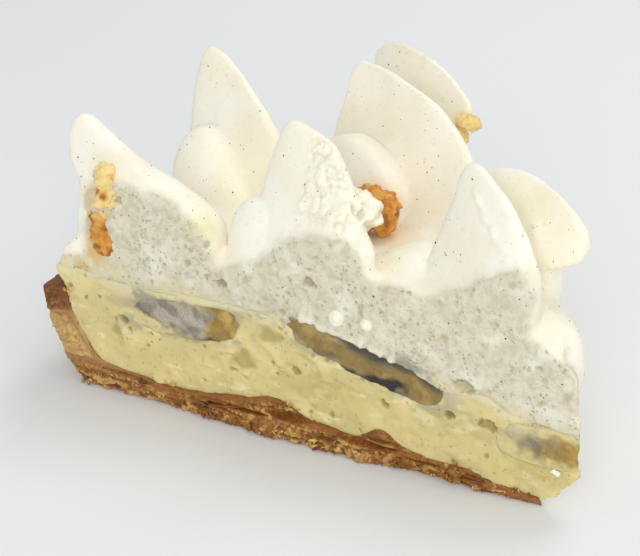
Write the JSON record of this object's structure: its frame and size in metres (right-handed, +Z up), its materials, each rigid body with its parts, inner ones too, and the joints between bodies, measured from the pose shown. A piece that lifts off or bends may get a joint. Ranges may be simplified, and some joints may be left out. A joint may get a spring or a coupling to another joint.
{
  "type": "slice of banana cream pie",
  "caption": "Cut wedge of banana cream pie: flaky crust, vanilla custard, banana slices and whipped cream piped in tall fins with crumble.",
  "frame": {"origin": "middle of the wedge's box, on the surface that the crust stands on", "axes": "+X along the front cut towards the tip, +Y from the front cut towards the back cut, +Z up"},
  "size_m": [0.112, 0.0832, 0.0581],
  "materials": {
    "crust": "matt baked pastry, flaky",
    "custard": "soft satin, moist",
    "whipped_cream": "soft satin",
    "banana": "moist satin",
    "crumble": "caramelised, slightly glossy"
  },
  "bodies": {
    "root": {"crust": "crust", "custard": "custard", "whipped_cream": "whipped_cream", "banana_left": "banana", "banana_middle": "banana", "banana_tip": "banana", "banana_back_outer": "banana", "banana_back_inner": "banana", "nugget_left": "crumble", "nugget_middle": "crumble", "nugget_back": "crumble"}
  },
  "joints": []
}
